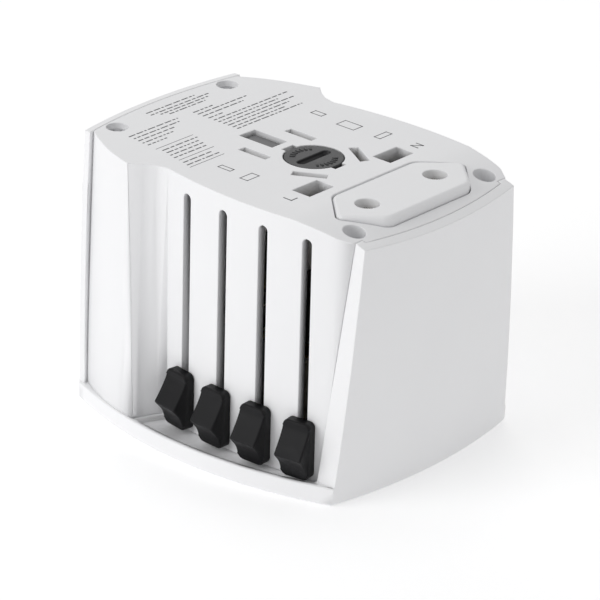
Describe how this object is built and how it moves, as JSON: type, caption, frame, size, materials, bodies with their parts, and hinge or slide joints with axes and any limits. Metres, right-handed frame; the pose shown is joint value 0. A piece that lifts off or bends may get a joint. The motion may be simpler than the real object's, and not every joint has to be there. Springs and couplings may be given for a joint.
{
  "type": "universal travel adapter",
  "caption": "Compact white travel adapter: sliding British, American, Australian and European plug sets on one face, a universal socket on the other, a fuse cap and thumb sliders.",
  "frame": {"origin": "middle of the casing's box, on the socket face that it stands on", "axes": "+X along the casing towards the European plug block, +Y from the wall with the sliders to the plain wall, +Z from the socket face up to the plug face"},
  "size_m": [0.0732, 0.0618, 0.0532],
  "materials": {
    "casing_white": "satin, fine spark-eroded texture",
    "face_white": "satin, fine spark-eroded texture",
    "socket_black": "satin",
    "shutter_orange": "satin",
    "carrier_cream": "satin",
    "knob_black": "satin with a faint sheen",
    "carriage_black": "satin",
    "pin_nickel": "bright nickel plate",
    "pin_sleeve": "satin",
    "earth_grey": "satin",
    "brass": "stamped strip",
    "fuse_cap_grey": "satin",
    "fuse_glass": "clear",
    "steel": "zinc plated",
    "board_green": "solder mask",
    "winding_yellow": "taped winding",
    "capacitor_blue": "shrunk sleeve",
    "led_clear": "clear light pipe"
  },
  "bodies": {
    "casing": {"socket_shell": "casing_white", "plug_shell": "face_white", "socket_plate": "socket_black", "shutter_spring": "steel", "contact_carrier": "carrier_cream", "line_contact": "brass", "neutral_contact": "brass", "line_busbar": "brass", "neutral_busbar": "brass", "fuse_spring": "steel", "fuse_glass": "fuse_glass", "fuse_end_caps": "pin_nickel", "fuse_base_contact": "brass", "fuse_holder": "carriage_black", "usb_board": "board_green", "usb_a_port": "steel", "usb_c_port": "steel", "usb_transformer": "winding_yellow", "usb_capacitor": "capacitor_blue", "power_led": "led_clear", "casing_screws": "steel"},
    "us_set": {"us_carriage": "carriage_black", "us_knob": "knob_black", "us_blades": "pin_nickel"},
    "au_set": {"au_carriage": "carriage_black", "au_knob": "knob_black", "au_blades": "pin_nickel"},
    "uk_set": {"uk_carriage": "carriage_black", "uk_knob": "knob_black", "uk_pins": "pin_nickel", "uk_pin_sleeves": "pin_sleeve", "uk_earth_pin": "earth_grey"},
    "euro_set": {"euro_carriage": "carriage_black", "euro_knob": "knob_black", "euro_pins": "pin_nickel", "euro_pin_sleeves": "pin_sleeve"},
    "euro_block": {"euro_block": "face_white"},
    "shutter": {"shutter_plate": "shutter_orange"},
    "fuse_cap": {"fuse_cap": "fuse_cap_grey"}
  },
  "joints": [
    {"name": "us_slide", "type": "slide", "parent": "casing", "child": "us_set", "axis": [0, 0, 1], "range_m": [0, 0.0183]},
    {"name": "au_slide", "type": "slide", "parent": "casing", "child": "au_set", "axis": [0, 0, 1], "range_m": [0, 0.0191]},
    {"name": "uk_slide", "type": "slide", "parent": "casing", "child": "uk_set", "axis": [0, 0, 1], "range_m": [0, 0.0234]},
    {"name": "euro_slide", "type": "slide", "parent": "casing", "child": "euro_set", "axis": [0, 0, 1], "range_m": [0, 0.0355]},
    {"name": "euro_block_slide", "type": "slide", "parent": "casing", "child": "euro_block", "axis": [0, 0, 1], "range_m": [0, 0.0158]},
    {"name": "shutter_slide", "type": "slide", "parent": "casing", "child": "shutter", "axis": [-1, 0, 0], "range_m": [0, 0.007], "stiffness_N_per_m": 80, "springref_m": -0.003, "deforming": ["shutter_spring"]},
    {"name": "fuse_cap_turn", "type": "hinge", "parent": "casing", "child": "fuse_cap", "pos_m": [0.004, 0, 0.0532], "axis": [0, 0, 1], "range_deg": [0, 90]}
  ],
  "couplings": [
    {"joint": "euro_block_slide", "follows": "euro_slide", "ratio": 0.445}
  ]
}
